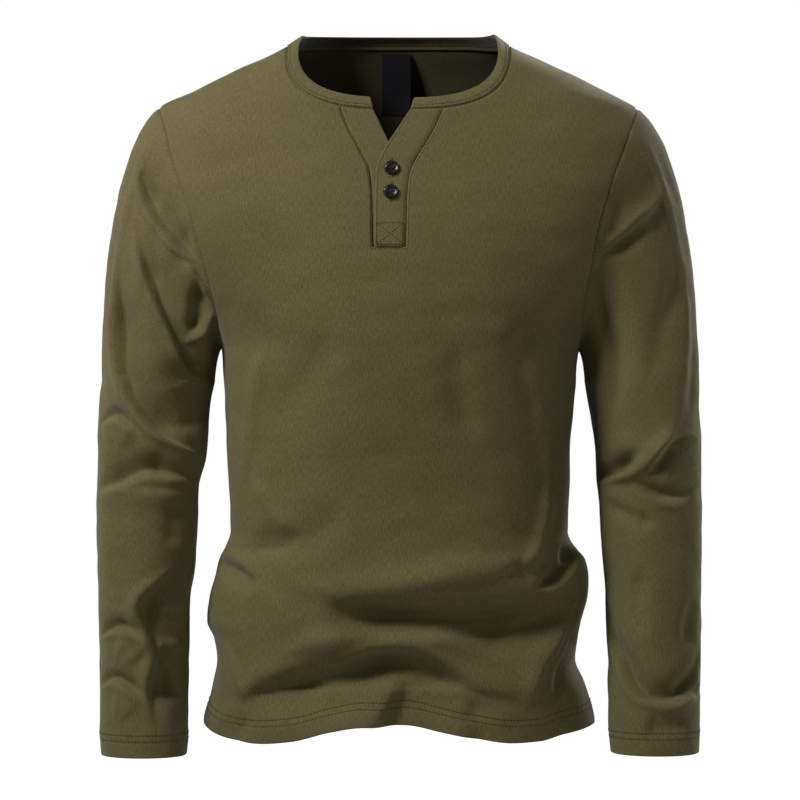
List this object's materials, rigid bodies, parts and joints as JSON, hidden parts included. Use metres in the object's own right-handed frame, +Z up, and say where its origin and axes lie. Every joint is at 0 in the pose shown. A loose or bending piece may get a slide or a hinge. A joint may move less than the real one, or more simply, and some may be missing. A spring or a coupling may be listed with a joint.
{
  "type": "henley shirt",
  "caption": "Long-sleeved henley shirt in cotton knit with a plain round neckband and a short buttoned placket, filled out as if worn, with open neck, hem and cuffs.",
  "frame": {"origin": "midway between the shoulders, level with the high points of the shoulder seams at the neck, where a wearer or a form carries the shirt", "axes": "+X toward the wearer's left, +Y toward the back so that the front faces -Y, +Z up"},
  "size_m": [0.6143, 0.2431, 0.7353],
  "materials": {
    "knit": "matt single-jersey cotton knit, olive",
    "button": "polished black resin",
    "label": "woven satin, black, bare"
  },
  "bodies": {
    "root": {"front": "knit", "back": "knit", "sleeve_right": "knit", "sleeve_left": "knit", "neckband": "knit", "placket_under": "knit", "placket_over": "knit", "button_upper": "button", "button_lower": "button", "neck_label": "label"}
  },
  "joints": []
}
